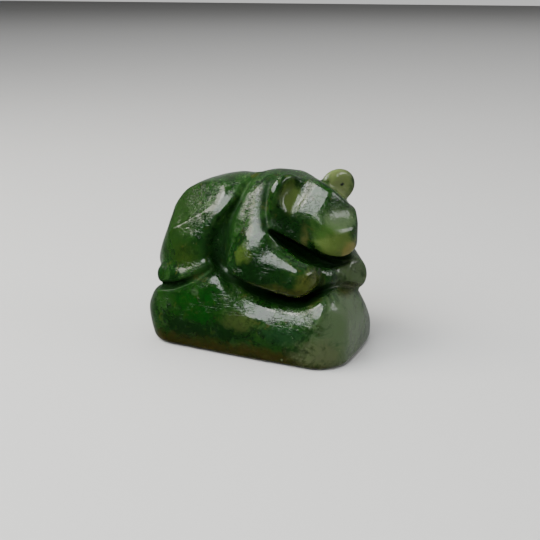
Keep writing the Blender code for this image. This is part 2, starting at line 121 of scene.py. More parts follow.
# The head has its own axes, turned about Z: forward along the muzzle, across to its
# far side, and up.
HEAD_PLACE = (12.0, 1.0, 0.0)
HEAD_TURN = -35.0
CHEEKS = ((-2.0, 0.0, 26.6), (8.6, 9.3, 8.0))
CHEEK_FILLET = 2.0
SNOUT_PLACE = 4.9
SNOUT_SIZE = (6.0, 5.0, 4.2)
SNOUT_FLATS = [
    ((7.9, 0.0, 30.2), (0.66, 0.0, 0.75), 0.9),
    ((0.0, 0.0, 30.6), (0.0, 0.0, 1.0), 1.0),
]
CHIN_HEIGHT = 21.7
CHIN_TIP = 10.5
CHIN_RISE_BACKWARD = 0.126
CHIN_RISE_SIDEWAYS = 0.19
CHIN_ROUNDING = 2.2
SKULL = ((-1.0, 0.0, 29.5), (9.6, 8.3, 9.0))
SKULL_FLATS = [
    ((0.0, 0.0, 36.6), (0.06, 0.0, 1.0), 1.5),
    ((7.8, 3.0, 32.2), (0.486, 0.614, 0.622), 0.6),
    ((7.9, 0.0, 31.5), (0.97, 0.0, 0.24), 0.6),
]
FAR_CROWN_FLAT = ((1.8, -0.7, 36.6), (0.14, 0.65, 0.75), 0.8)
SKULL_FILLET = 1.2
NEAR_EAR = ((0.6, -7.4, 33.0), (0.98, 0.16, 0.0), (2.2, 4.6, 5.0))
NEAR_EAR_CUP = ((3.0, -6.4, 33.6), (0.98, 0.16, 0.0), (2.5, 4.1, 3.9))
EAR_SCOOP = ((2.6, -9.6, 32.8), (3.0, -5.4, 38.0), 3.0, 3.0)
FAR_EAR = ((-0.8, 6.1, 33.8), (1.0, 0.0, 0.0), (1.6, 4.2, 3.5))
FAR_EAR_CUP = ((1.7, 6.9, 33.7), (1.0, 0.0, 0.0), (1.4, 2.8, 3.0))
EAR_FILLET = 1.0
CUP_ROUNDING = 0.9

# Fillets between the masses of the body.
HAUNCH_FILLET = 2.0
TAIL_FILLET = 0.8
FOOT_FILLET = 1.4
SHOULDER_FILLET = 1.0
HUMP_FILLET = 2.0
ARM_FILLET = 1.0
CHEST_FILLET = 1.5
HEAD_FILLET = 1.2
ROCK_FILLET = 1.2

# Creases: the stations of each and how far the crease has faded at them.
BEHIND_SHOULDER = [(0.4, 0.0, 37.4), (0.2, 2.6, 36.4), (-0.9, 5.0, 34.4), (-1.6, 6.8, 31.9),
                   (-2.5, 8.7, 29.0), (-3.1, 10.0, 25.5), (-3.2, 10.6, 21.8), (-2.8, 11.0, 18.8)]
BEHIND_SHOULDER_FADING = [1.1, 0.9, 0.2, 0.0, 0.0, 0.0, 0.0, 0.0]
BEHIND_SHOULDER_DEPTH = 0.9
BEHIND_SHOULDER_REACH = 1.8
NECK = [(4.3, -4.6, 36.8), (4.5, -6.0, 35.0), (4.7, -7.6, 32.6), (5.1, -8.9, 30.2), (6.0, -9.8, 28.0)]
NECK_FADING = [0.9, 0.2, 0.0, 0.0, 0.0]
NECK_DEPTH = 0.7
NECK_REACH = 1.4
CREASE_STRETCH_ALONG_Y = 4.0
CREASE_BOTTOM = 0.25

# Carved grooves: the stations of each and the groove's radius at them.
UNDER_JAW = [(6.6, -9.6, 27.0), (8.9, -8.6, 25.1), (12.0, -8.0, 23.2),
             (14.5, -7.4, 21.8), (17.5, -6.4, 20.9), (20.0, -4.5, 21.0)]
UNDER_JAW_RADII = [0.4, 1.0, 1.3, 1.4, 1.2, 0.7]
UNDER_JAW_DEPTH = 4.0
UNDER_JAW_FALL = 0.36
PAW_END = [(16.9, -9.3, 20.8), (17.4, -8.9, 18.8), (17.1, -8.9, 16.8), (15.5, -9.6, 14.9)]
PAW_END_RADII = [0.5, 0.7, 0.7, 0.5]
UNDER_FOREARM = [(-1.5, 12.8, 18.6), (1.5, 13.4, 16.6), (5.0, 13.8, 14.8),
                 (10.0, 14.0, 13.5), (15.0, 13.5, 14.0), (17.5, 12.0, 15.6)]
UNDER_FOREARM_RADII = [0.5, 0.8, 1.2, 1.4, 1.2, 0.5]
UNDER_FOOT = [(-20.8, 7.0, 12.4), (-18.4, 12.0, 13.0), (-14.0, 13.4, 13.9),
              (-8.7, 13.8, 16.2), (-5.0, 12.8, 18.8)]
UNDER_FOOT_RADII = [0.6, 0.7, 0.7, 0.6, 0.4]
UNDER_LIMB_DEPTH = 1.8
GROOVE_EDGE = 0.4


def unit(direction):
    """The direction with length one."""
    direction = np.asarray(direction, float)
    return direction / np.linalg.norm(direction)


def joined(one, other, width):
    """Both bodies as one, with a fillet of about the given width between them."""
    share = np.clip(0.5 + 0.5 * (other - one) / width, 0, 1)
    return other + (one - other) * share - width * share * (1 - share)


def shared(one, other, width):
    """What lies inside both bodies, its edge rounded over the given width."""
    return -joined(-one, -other, width)


def carved(body, tool, width):
    """The body without the tool, its edge rounded over the given width."""
    return shared(body, -tool, width)


def ellipsoid(points, centre, radii):
    """Roughly the distance to an ellipsoid that lies along the axes."""
    offset = points - np.asarray(centre)
    near = np.linalg.norm(offset / radii, axis=1)
    slope = np.linalg.norm(offset / np.square(radii), axis=1)
    return near * (near - 1) / np.maximum(slope, 1e-9)


def disc(points, centre, facing, radii):
    """An upright flattened ellipsoid: its thickness, half width and half height are the radii."""
    facing = unit(facing)
    axes = np.array([facing, (-facing[1], facing[0], 0.0), (0.0, 0.0, 1.0)])
    return ellipsoid((points - np.asarray(centre)) @ axes.T, (0.0, 0.0, 0.0), radii)


def limb(points, start, end, start_radius, end_radius):
    """A tapered round bar from start to end with domed ends."""
    axis = np.subtract(end, start)
    offset = points - np.asarray(start)
    along = np.clip(offset @ axis / (axis @ axis), 0, 1)
    radius = start_radius + (end_radius - start_radius) * along
    return np.linalg.norm(offset - along[:, None] * axis, axis=1) - radius


def route(points, stations, radii, depth=1.0, fall=0.0):
    """A round bar through the stations, stretched along Y by the depth and falling along it."""
    squeeze = np.array([(1.0, 0.0, 0.0), (0.0, 1.0 / depth, fall), (0.0, 0.0, 1.0)])
    stations = np.asarray(stations) @ squeeze
    lengths = zip(stations[:-1], stations[1:], radii[:-1], radii[1:])
    return np.minimum.reduce([limb(points @ squeeze, *length) for length in lengths])


def creased(body, points, stations, fading, depth, reach):
    """The body with a narrow valley along the stations, rolled out over its reach."""
    away = route(points, stations, np.negative(fading), CREASE_STRETCH_ALONG_Y)
    away = np.hypot(away, CREASE_BOTTOM)
    return body + depth * np.square(np.clip(1 - away / reach, 0, 1))


def flat(points, place, facing):
    """Distance in front of the flat through the place that faces the given way."""
    return (points - np.asarray(place)) @ unit(facing)


def trimmed(body, points, flats):
    """The body trimmed by a row of flats, each with its own edge rounding."""
    for place, facing, width in flats:
        body = shared(body, flat(points, place, facing), width)
    return body


def both_sides(points):
    """The points with Y as their distance from the middle."""
    return np.column_stack([points[:, 0], np.abs(points[:, 1]), points[:, 2]])


def rounded_bar(along, across, half_length, half_width, corner):
    """An upright bar whose plan is a rectangle with rounded corners."""
    over_length = np.abs(along) - (half_length - corner)
    over_width = np.abs(across) - (half_width - corner)
    outside = np.hypot(np.maximum(over_length, 0), np.maximum(over_width, 0))
    return outside + np.minimum(np.maximum(over_length, over_width), 0) - corner


def rock(points):
    """The rock base: it bulges at mid height and its upper edge rises in knolls."""
    x, y, z = points.T
    side = rounded_bar(x, y, ROCK_HALF_LENGTH, ROCK_HALF_DEPTH, ROCK_CORNER)
    tuck = ROCK_TUCK_OF_SIDES * np.clip(np.abs(y) / ROCK_HALF_DEPTH, 0, 1) ** 2
    tuck = tuck + ROCK_TUCK_OF_TAIL_END * np.clip(-x / ROCK_TAIL_END_FROM, 0, 1)
    side = side + np.minimum(z - ROCK_WIDEST_HEIGHT, 0) ** 2 * tuck
    side = side + np.maximum(z - ROCK_WIDEST_HEIGHT, 0) ** 2 * ROCK_LEAN_ABOVE
    crest = ROCK_CREST
    for place, width, height in ROCK_KNOLLS:
        crest = crest + height * np.exp(-((x - place) / width) ** 2)
    tailward = np.clip(-x / ROCK_TAIL_END_TO_TOP, 0, 1)
    rounding = ROCK_TOP_ROUNDING + (ROCK_TAIL_TOP_ROUNDING - ROCK_TOP_ROUNDING) * tailward
    body = shared(side, (z - crest) * ROCK_TOP_EASE, rounding)
    body = trimmed(body, points, ROCK_FLATS)
    front = joined(flat(points, *ROCK_FRONT_LEFT), flat(points, *ROCK_FRONT_RIGHT), ROCK_FRONT_VALLEY)
    front = joined(front, flat(points, *ROCK_FRONT_END), ROCK_FRONT_VALLEY)
    body = shared(body, front, ROCK_FRONT_EDGE)
    return shared(body, -z, ROCK_FOOT_ROUNDING)


def haunches(points):
    """The rump and thighs, faceted as they were ground."""
    sides = both_sides(points)
    body = trimmed(ellipsoid(points, *HAUNCH), sides, RUMP_FLATS)
    upper = flat(sides, HAUNCH_RIDGE, HAUNCH_ABOVE_RIDGE)
    lower = flat(sides, HAUNCH_RIDGE, HAUNCH_BELOW_RIDGE)
    bevel = flat(sides, HAUNCH_RIDGE, HAUNCH_BEVEL) + HAUNCH_BEVEL_DEPTH
    body = shared(body, np.maximum.reduce([upper, bevel, lower]), HAUNCH_RIDGE_ROUNDING)
    body = trimmed(body, sides, [THIGH_FLAT])
    slant = THIGH_SLANT * np.maximum(points[:, 2] - THIGH_SLANT_FROM, 0) ** 2
    return shared(body, points[:, 0] - THIGH_FRONT - slant, THIGH_FRONT_ROUNDING)


def hind_feet(points):
    """The hind feet, laid forward along the rock."""
    sides = both_sides(points)
    return trimmed(route(sides, HIND_FOOT, HIND_FOOT_RADII), sides, [HIND_FOOT_FLAT])


def shoulders(points):
    """The shoulders and upper arms, down to the elbows."""
    sides = both_sides(points)
    return trimmed(limb(sides, *SHOULDER), sides, [ELBOW_FLAT, SHOULDER_BACK])


def forearms(points):
    """The forearms laid along the rock, with a ridge between the top and the outside."""
    sides = both_sides(points)
    top = flat(sides, FOREARM_RIDGE, FOREARM_TOP)
    outside = flat(sides, FOREARM_RIDGE, FOREARM_OUTSIDE)
    bevel = flat(sides, FOREARM_RIDGE, FOREARM_BEVEL) + FOREARM_BEVEL_DEPTH
    ground = shared(shared(top, outside, CRISP), bevel, CRISP)
    body = shared(limb(sides, *FOREARM), ground, FOREARM_RIDGE_REACH)
    return trimmed(body, sides, [FOREARM_UNDERSIDE, SHOULDER_BACK])


def far_paw(points):
    """The far forepaw, folded in front of the chest."""
    return trimmed(limb(points, *FAR_PAW), points, FAR_PAW_FLATS)


def head_axes(points):
    """The points in the head's own axes."""
    turn = math.radians(HEAD_TURN)
    forward = (math.cos(turn), math.sin(turn), 0.0)
    across = (-math.sin(turn), math.cos(turn), 0.0)
    return (points - np.asarray(HEAD_PLACE)) @ np.array([forward, across, (0.0, 0.0, 1.0)]).T


def jaw(local):
    """The cheeks and the muzzle, down to the line of the lower jaw."""
    forward, across, up = local.T
    snout = rounded_bar(forward - SNOUT_PLACE, across, *SNOUT_SIZE)
    snout = trimmed(snout, local, SNOUT_FLATS)
    body = joined(ellipsoid(local, *CHEEKS), snout, CHEEK_FILLET)
    rise = CHIN_RISE_BACKWARD * (CHIN_TIP - forward) + CHIN_RISE_SIDEWAYS * np.abs(across)
    return shared(body, CHIN_HEIGHT + rise - up, CHIN_ROUNDING)


def head(points):
    """The turned head: skull with flats on crown, forehead and face, jaw and cupped ears."""
    local = head_axes(points)
    skull = trimmed(ellipsoid(local, *SKULL), both_sides(local), SKULL_FLATS)
    skull = trimmed(skull, local, [FAR_CROWN_FLAT])
    body = joined(jaw(local), skull, SKULL_FILLET)
    body = carved(body, limb(local, *EAR_SCOOP), CUP_ROUNDING)
    for ear, cup in ((NEAR_EAR, NEAR_EAR_CUP), (FAR_EAR, FAR_EAR_CUP)):
        shell = carved(disc(local, *ear), disc(local, *cup), CUP_ROUNDING)
        body = joined(body, shell, EAR_FILLET)
    return body


def bear_on_rock(points):
    """Distance from each point to the surface of the whole carving, negative inside."""
    sides = both_sides(points)
    masses = [
        (haunches(points), HAUNCH_FILLET),
        (limb(points, *TAIL), TAIL_FILLET),
        (hind_feet(points), FOOT_FILLET),
        (shoulders(points), SHOULDER_FILLET),
        (ellipsoid(points, *HUMP), HUMP_FILLET),
        (forearms(points), ARM_FILLET),
        (far_paw(points), ARM_FILLET),
        (ellipsoid(points, *CHEST), CHEST_FILLET),
        (head(points), HEAD_FILLET),
        (rock(points), ROCK_FILLET),
    ]
    grooves = [
        route(points, UNDER_JAW, UNDER_JAW_RADII, UNDER_JAW_DEPTH, UNDER_JAW_FALL),
        route(points, PAW_END, PAW_END_RADII, UNDER_LIMB_DEPTH),
        route(sides, UNDER_FOREARM, UNDER_FOREARM_RADII, UNDER_LIMB_DEPTH),
        route(sides, UNDER_FOOT, UNDER_FOOT_RADII, UNDER_LIMB_DEPTH),
    ]
    body = ellipsoid(points, *TRUNK)
    for mass, fillet in masses:
        body = joined(body, mass, fillet)
    body = creased(body, sides, BEHIND_SHOULDER, BEHIND_SHOULDER_FADING,
                   BEHIND_SHOULDER_DEPTH, BEHIND_SHOULDER_REACH)
    body = creased(body, points, NECK, NECK_FADING, NECK_DEPTH, NECK_REACH)
    for groove in grooves:
        body = carved(body, groove, GROOVE_EDGE)
    return body


# Hand grinding leaves the polished surface slightly uneven: the height of the unevenness, and
# how far apart its swells lie along three slanted directions. The swells crowd and spread:
# how strongly, and in how many turns to each swell.
SWELL_HEIGHT = 0.035
SWELLS = [((1.00, 0.35, 0.20), 5.3), ((-0.30, 1.00, 0.45), 4.1), ((0.25, -0.40, 1.00), 3.4)]
SWELL_CROWDING = 1.7
CROWDING_TURNS = 0.37

# A low rounded ridge along the top of each hind foot.
FOOT_RIDGE = [(-11.6, 13.1, 16.7), (-9.2, 12.9, 17.8), (-6.8, 12.3, 19.2)]
FOOT_RIDGE_HEIGHT = 0.42
FOOT_RIDGE_REACH = 0.85

# The grid that the form is read on. Its net is remeshed with the mesh spacing and settles on
# the surface in short strokes, each no longer than their reach. Teeth above the tooth height
# are evened out, and points below the foot plane come down to the ground.
GRID_FROM = (-24.6, -15.4, -1.2)
GRID_TO = (24.6, 15.4, 39.2)
GRID_SPACING = 0.5
MESH_SPACING = 0.30
SETTLING_STROKES = 3
SETTLING_REACH = 0.15
SLOPE_STEP = 0.04
LEAST_SLOPE = 0.3
EVENING = 0.5
TOOTH_HEIGHT = 0.05
TOOTH_STROKES = 4
FOOT_PLANE = 0.03

# A hollow is found by how near the surface comes again at two distances in front of it, each
# with its weight. The lips of some creases were never polished: they are dull up to one
# distance and polished from the other. The neck's crease is on the near side alone.
HOLLOW_REACHES = [(0.8, 0.4), (2.0, 0.6)]
DULL_CREASES = [BEHIND_SHOULDER, UNDER_FOOT, UNDER_FOREARM[:2], NECK]
DULL_WITHIN = 0.9
POLISHED_FROM = 2.2


def carved_surface(points):
    """Distance to the carving as the grinder left it."""
    swell = np.zeros(len(points))
    for direction, spacing in SWELLS:
        along = points @ unit(direction) * (2 * math.pi / spacing)
        swell += np.sin(along + SWELL_CROWDING * np.sin(along * CROWDING_TURNS))
    lift = np.clip(points[:, 2], 0, 1)
    away = route(both_sides(points), FOOT_RIDGE, np.zeros(len(FOOT_RIDGE)))
    ridge = FOOT_RIDGE_HEIGHT * np.exp(-np.square(away / FOOT_RIDGE_REACH))
    return bear_on_rock(points) + SWELL_HEIGHT * swell / len(SWELLS) * lift - ridge


def gaps_on_grid():
    """Distance to the form of the carving at each crossing of an even grid."""
    rows = [np.arange(low, high, GRID_SPACING) for low, high in zip(GRID_FROM, GRID_TO)]
    gaps = np.empty([len(row) for row in rows])
    for index, x in enumerate(rows[0]):
        slab = np.stack(np.meshgrid([x], rows[1], rows[2], indexing="ij"), axis=-1)
        gaps[index] = bear_on_rock(slab.reshape(-1, 3)).reshape(slab.shape[1:3])
    return gaps


def crossings(gaps, axis):
    """Where the surface crosses the grid's edges along one axis, and where it faces onward."""
    start = np.moveaxis(gaps, axis, 0)[:-1]
    end = np.moveaxis(gaps, axis, 0)[1:]
    edges = np.argwhere((start < 0) != (end < 0))
    start = start[tuple(edges.T)]
    end = end[tuple(edges.T)]
    edges[:, :axis + 1] = np.roll(edges[:, :axis + 1], -1, axis=1)
    places = edges.astype(float)
    places[:, axis] += start / (start - end)
    return edges, places, start < 0


def surface_net(gaps):
    """A net over the surface: a point in each cell that it meets, a face across each edge."""
    cells = np.array(gaps.shape) - 1
    total = np.zeros((*cells, 3))
    count = np.zeros(cells, int)
    rings = []
    for axis in range(3):
        edges, places, onward = crossings(gaps, axis)
        beside, beyond = np.eye(3, dtype=int)[[(axis + 1) % 3, (axis + 2) % 3]]
        ring = [edges - step for step in (0 * beside, beside, beside + beyond, beyond)]
        for cell in ring:
            np.add.at(total, tuple(cell.T), places)
            np.add.at(count, tuple(cell.T), 1)
        rings.append((ring, onward))
    met = count > 0
    number = np.cumsum(met).reshape(met.shape) - 1
    faces = []
    for ring, onward in rings:
        corners = np.stack([number[tuple(cell.T)] for cell in ring], axis=1)
        corners[~onward] = corners[~onward, ::-1]
        faces.append(corners)
    return total[met] / count[met][:, None], np.concatenate(faces)


def settled(points):
    """The points moved onto the carved surface in short strokes."""
    for _ in range(SETTLING_STROKES):
        gap = carved_surface(points)
        slope = np.empty_like(points)
        for axis, step in enumerate(np.eye(3) * SLOPE_STEP):
            slope[:, axis] = (carved_surface(points + step) - gap) / SLOPE_STEP
        steepness = np.maximum(np.linalg.norm(slope, axis=1), LEAST_SLOPE)
        move = slope * (gap / steepness ** 2)[:, None]
        length = np.maximum(np.linalg.norm(move, axis=1), SETTLING_REACH)
        points = points - move * (SETTLING_REACH / length)[:, None]
    return points


def evened(points, edges, least=0.0):
    """The points moved part of the way to their neighbours' middle, where that is far enough."""
    total = np.zeros_like(points)
    count = np.zeros(len(points))
    for here, there in (edges.T, edges.T[::-1]):
        np.add.at(total, here, points[there])
        np.add.at(count, here, 1)
    move = total / count[:, None] - points
    move[np.linalg.norm(move, axis=1) < least] = 0.0
    return points + EVENING * move


def remeshed(body, spacing):
    """The body's shape as an even closed mesh."""
    grain = body.modifiers.new("grain", "REMESH")
    grain.mode = "VOXEL"
    grain.voxel_size = spacing * MM
    graph = bpy.context.evaluated_depsgraph_get()
    mesh = bpy.data.meshes.new_from_object(body.evaluated_get(graph))
    body.modifiers.clear()
    return mesh


def mark_hollows(mesh, points):
    """Mark at each point how much the surface closes in round it and how dull its crease is."""
    outward = np.empty(len(mesh.vertices) * 3)
    mesh.vertices.foreach_get("normal", outward)
    closed = np.zeros(len(points))
    for reach, weight in HOLLOW_REACHES:
        away = bear_on_rock(points + reach * outward.reshape(-1, 3))
        closed += weight * np.clip(1 - away / reach, 0, 1)
    mesh.attributes.new("hollow", "FLOAT", "POINT").data.foreach_set("value", closed)
    sides = both_sides(points)
    away = np.full(len(points), POLISHED_FROM)
    for crease in DULL_CREASES:
        where = points if crease is NECK else sides
        away = np.minimum(away, route(where, crease, np.zeros(len(crease))))
    dull = np.clip((POLISHED_FROM - away) / (POLISHED_FROM - DULL_WITHIN), 0, 1)
    mesh.attributes.new("dull", "FLOAT", "POINT").data.foreach_set("value", dull)


def carved_bear():
    """The whole carving as one fine mesh, in metres."""
    places, faces = surface_net(gaps_on_grid())
    rough = bpy.data.meshes.new("rough_carving")
    corners = (np.array(GRID_FROM) + places * GRID_SPACING) * MM
    rough.from_pydata(corners.tolist(), [], faces.tolist())
    body = bpy.data.objects.new(PIECE, rough)
    bpy.context.scene.collection.objects.link(body)
    body.data = remeshed(body, MESH_SPACING)
    bpy.data.meshes.remove(rough)
    body.data.name = PIECE
    vertices = body.data.vertices
    points = np.empty(len(vertices) * 3)
    vertices.foreach_get("co", points)
    edges = np.empty(len(body.data.edges) * 2, int)
    body.data.edges.foreach_get("vertices", edges)
    edges = edges.reshape(-1, 2)
    points = settled(points.reshape(-1, 3) / MM)
    points = settled(evened(points, edges))
    for _ in range(TOOTH_STROKES):
        points = evened(points, edges, TOOTH_HEIGHT)
    points[points[:, 2] < FOOT_PLANE, 2] = 0.0
    vertices.foreach_set("co", (points * MM).ravel())
    body.data.update()
    body.data.shade_smooth()
    mark_hollows(body.data, points)
    return body


# The colours of the stone. The dark vein colour also serves as the painted shade in the hollows.
DEEP_GREEN = (0.0043, 0.0264, 0.0037)
MID_GREEN = (0.0105, 0.0430, 0.0060)
LIGHT_GREEN = (0.0496, 0.0961, 0.0279)
DARK_VEIN_AND_SHADE = (0.0028, 0.0139, 0.0028)
PALE_SPECK = (0.1550, 0.2015, 0.1085)
DARK_BLOTCH = (0.0025, 0.0160, 0.0025)
OLIVE = (0.0400, 0.0460, 0.0085)

# The clouds in the stone and the marks on it, each as a noise: how many to a millimetre,
# their detail, how far they are distorted and how rough they are.
NOISES = {
    "clouds": (0.13, 5.0, 0.8, 0.6),
    "wisps": (0.45, 3.5, 1.6, 0.6),
    "mottle": (0.9, 2.5, 0.9, 0.6),
    "blotch": (0.33, 4.0, 1.2, 0.65),
    "rust": (0.42, 4.0, 1.5, 0.7),
    "wander": (0.30, 5.0, 0.8, 0.62),
    "specks": (0.9, 2.0, 0.0, 0.5),
    "wear": (0.28, 3.0, 0.5, 0.5),
    "flecks": (2.0, 3.0, 0.3, 0.6),
    "scratches": (1.6, 3.0, 0.2, 0.6),
    "polish": (1.2, 2.5, 0.5, 0.6),
    "ripple": (0.55, 3.0, 0.4, 0.5),
    "grain": (2.0, 2.0, 0.0, 0.5),
}

# The layers of colour under and over the patches: the noise that a layer follows, where in it
# the layer begins and where it is full, how much of it shows then, and its colour.
UNDER_LAYERS = [
    ("clouds", 0.36, 0.62, 1.0, MID_GREEN),
    ("wisps", 0.52, 0.72, 0.4, LIGHT_GREEN),
    ("blotch", 0.52, 0.60, 0.7, DARK_BLOTCH),
]
UNDER_RUST = [("rust", 0.58, 0.68, 0.7, OLIVE)]
OVER_LAYERS = [
    ("wisps", 0.52, 0.72, 0.10, LIGHT_GREEN),
    ("mottle", 0.50, 0.70, 0.55, DARK_VEIN_AND_SHADE),
    ("blotch", 0.53, 0.60, 0.35, DARK_BLOTCH),
    ("rust", 0.58, 0.68, 0.25, OLIVE),
]

# A patch is a cloudy area with its middle and half sizes in millimetres, its colour and how
# much of it shows. First the rock, from the tail end to the head's end.
PATCHES = [
    ((-8.0, -13.5, 10.4), (7.0, 7.0, 4.6), (0.0027, 0.0370, 0.0020), 0.85),
    # The rock's tail end: greyer green, partly the stone's colour and partly a painted dim
    # reflection.
    ((-22.5, -9.0, 9.0), (4.6, 9.0, 8.0), (0.0280, 0.0500, 0.0220), 0.6),
    ((-11.5, -13.7, 4.8), (6.0, 6.0, 2.6), (0.0026, 0.0130, 0.0026), 0.85),
    ((-1.0, -13.7, 5.6), (6.0, 6.0, 2.2), (0.0026, 0.0140, 0.0026), 0.75),
    ((1.6, -14.0, 8.6), (4.0, 4.0, 2.4), (0.0430, 0.0600, 0.0150), 0.6),
    ((-8.8, -13.6, 13.3), (0.9, 2.0, 0.8), (0.0600, 0.1000, 0.0450), 0.5),
    # A bluish-green painted reflection: a haze on the rock's front below the forearm.
    ((11.6, -14.0, 7.0), (5.0, 6.0, 2.2), (0.0110, 0.0420, 0.0160), 0.5),
    # A brown band along the foot of the rock: partly the stone's olive and partly a painted
    # reflection of something warm-coloured below it.
    ((0.0, -12.0, 0.0), (34.0, 20.0, 3.6), (0.0260, 0.0200, 0.0034), 0.9),
    # The rock's head end and its lower corner towards the viewer: pale grey-green, partly the stone's
    # colour and partly painted reflection.
    ((23.5, -6.0, 8.0), (7.5, 12.0, 9.0), (0.0800, 0.1180, 0.0580), 0.9),
    ((18.5, -13.0, 3.6), (6.0, 5.0, 3.4), (0.0820, 0.1000, 0.0460), 0.8),
    # The haunch and the rump.
    ((-11.0, -11.0, 20.6), (4.6, 6.0, 2.8), (0.0220, 0.0390, 0.0037), 0.5),
    ((-16.0, -4.0, 27.0), (9.0, 12.0, 8.0), (0.0130, 0.0370, 0.0062), 0.75),
    ((-6.0, -10.0, 22.5), (5.0, 5.0, 5.5), (0.0037, 0.0232, 0.0037), 0.85),
    # The near forearm, from the elbow to the paw.
    ((5.0, -13.8, 19.5), (6.4, 3.4, 3.4), (0.0024, 0.0150, 0.0024), 0.95),
    ((11.5, -13.9, 18.0), (3.8, 3.2, 2.4), (0.0034, 0.0200, 0.0034), 0.9),
    ((16.0, -12.0, 17.0), (3.0, 4.0, 3.6), (0.0697, 0.0837, 0.0155), 0.8),
    ((10.0, -12.6, 15.2), (9.0, 4.0, 2.0), (0.0465, 0.0465, 0.0087), 0.7),
    ((1.9, -13.4, 22.9), (2.0, 2.0, 2.2), (0.0650, 0.1080, 0.0165), 0.55),
    # The muzzle, the cheek and the ears.
    # Towards the muzzle's tip: yellow-green, partly the stone's colour and partly a painted glow of
    # light shining through the stone.
    ((18.4, -7.2, 26.6), (4.4, 3.0, 3.6), (0.0420, 0.0920, 0.0170), 0.75),
    ((19.6, -6.6, 24.2), (4.4, 4.5, 3.4), (0.0820, 0.1220, 0.0270), 0.8),
    ((22.0, -3.5, 23.2), (3.4, 3.4, 1.8), (0.1800, 0.1400, 0.0440), 0.65),
    # The top of the nose: pale grey-green, a painted broad reflection of the bright room above.
    ((18.8, -4.0, 29.6), (3.4, 4.5, 2.6), (0.0700, 0.1100, 0.0450), 0.8),
    ((12.8, -7.0, 26.2), (0.9, 2.0, 2.6), (0.1080, 0.1020, 0.0320), 0.55),
    ((9.5, -7.6, 27.8), (4.2, 3.0, 3.0), (0.0032, 0.0200, 0.0032), 0.9),
    # The ears: paler olive, partly the stone's colour and partly a painted glow of light shining
    # through the thin stone.
    ((9.5, -6.0, 33.8), (3.2, 2.5, 3.4), (0.0740, 0.1100, 0.0270), 0.8),
    ((15.6, 5.7, 34.7), (3.4, 3.5, 4.0), (0.1400, 0.1800, 0.0620), 0.9),
    # The far paw, and the dark dot on the far ear.
    ((21.0, -1.5, 18.0), (3.4, 4.5, 4.0), (0.0620, 0.0868, 0.0403), 0.8),
    ((20.4, -2.6, 14.6), (3.2, 4.0, 1.4), (0.0480, 0.0480, 0.0100), 0.6),
    ((15.9, 6.2, 34.2), (0.4, 1.2, 0.4), (0.0050, 0.0110, 0.0030), 1.0),
]

# Places with an even colour, places with a smooth polish, and places with a worn, pitted one,
# each with its middle, its half sizes and its share.
EVEN_PLACES = [
    ((23.0, -6.0, 8.0), (8.0, 12.0, 9.0), 1.0),
    ((-17.0, -6.0, 27.0), (9.0, 10.0, 8.0), 0.9),
    ((19.0, -6.0, 26.5), (5.0, 5.0, 6.0), 0.8),
    ((15.6, 5.7, 34.7), (5.0, 4.0, 5.0), 1.0),
    ((9.5, -6.0, 33.8), (3.6, 3.0, 3.8), 0.8),
    ((5.0, -13.8, 19.5), (8.0, 4.0, 4.0), 0.7),
]
SMOOTH_PLACES = [
    ((-18.0, -7.0, 25.0), (9.0, 10.0, 8.0), 1.0),
    ((-9.0, -11.0, 20.5), (6.0, 6.0, 5.0), 1.0),
]
WORN_PLACES = [
    ((2.0, -8.0, 32.0), (3.4, 5.0, 6.0), 1.0),
    ((13.5, -6.0, 31.0), (3.6, 4.0, 3.4), 0.9),
    ((13.0, -13.0, 11.0), (5.0, 4.0, 3.6), 1.0),
    ((19.0, -4.5, 29.6), (2.6, 4.0, 1.6), 0.8),
    ((-9.6, -13.0, 18.2), (3.6, 2.0, 2.0), 1.0),
    ((-10.0, -6.0, 31.5), (4.0, 4.0, 3.0), 0.8),
    ((8.0, -12.0, 23.0), (6.0, 4.0, 2.6), 0.8),
]

# How far a patch's edge wanders in and out. The patch is full up to its core and gone at its
# edge, both as parts of its half size.
WANDER = 1.7
PATCH_CORE = 0.5
PATCH_EDGE = 1.3

# Specks: how many cells that may hold one to a millimetre, where in their noise they begin
# and are largest, their size and soft edge as parts of a cell, and how much of them shows.
SPECK_CELLS = 0.8
SPECK_RANGE = (0.54, 0.78)
SPECK_SIZE = 0.34
SPECK_EDGE = 0.08
SPECK_SHARE = 0.45

# Hollows: where in their mark they begin and are full, how dark the painted shade in them is
# and how rough they are then, and how much of that dullness the lips of the creases share.
HOLLOW_RANGE = (0.34, 0.66)
PAINTED_HOLLOW_SHADE = 0.85
HOLLOW_ROUGHNESS = 0.3
DULL_SHARE = 0.8

# Where in their noises the worn areas, the pits and the brushed scratches begin and are full,
# and how much the scratches are squeezed together along each axis: below one they are long.
WEAR_RANGE = (0.44, 0.62)
FLECK_RANGE = (0.53, 0.64)
SCRATCH_RANGE = (0.55, 0.65)
BRUSHING = (0.16, 1.0, 1.5)

# The polish: the range of its noise, and the roughness at both ends of it.
POLISH_RANGE = (0.30, 0.75)
POLISH_ROUGHNESS = (0.08, 0.17)

# The relief of the surface, each over the one before: its strength and height in millimetres.
RIPPLE = (0.7, 0.14)
GRAIN = (0.6, 0.02)
PITS = (0.9, 0.04)

# How nephrite bends light, how glossy it is when polished and when dull, and the light that
# scatters below its surface: how much, how far in red, green and blue, and the depth in
# millimetres.
REFRACTION = 1.62
GLOSS = 0.36
DULL_GLOSS = 0.04
GLOW = 0.3
GLOW_SPREAD = (0.5, 1.0, 0.35)
GLOW_DEPTH = 1.5


def add(tree, kind, inputs=None, **settings):
    """A new shader node with its settings, its inputs set to values or joined to other nodes."""
    made = tree.nodes.new(kind)
    for name, value in settings.items():
        setattr(made, name, value)
    for name, value in (inputs or {}).items():
        if isinstance(value, bpy.types.NodeSocket):
            tree.links.new(value, made.inputs[name])
        else:
            made.inputs[name].default_value = value
    return made


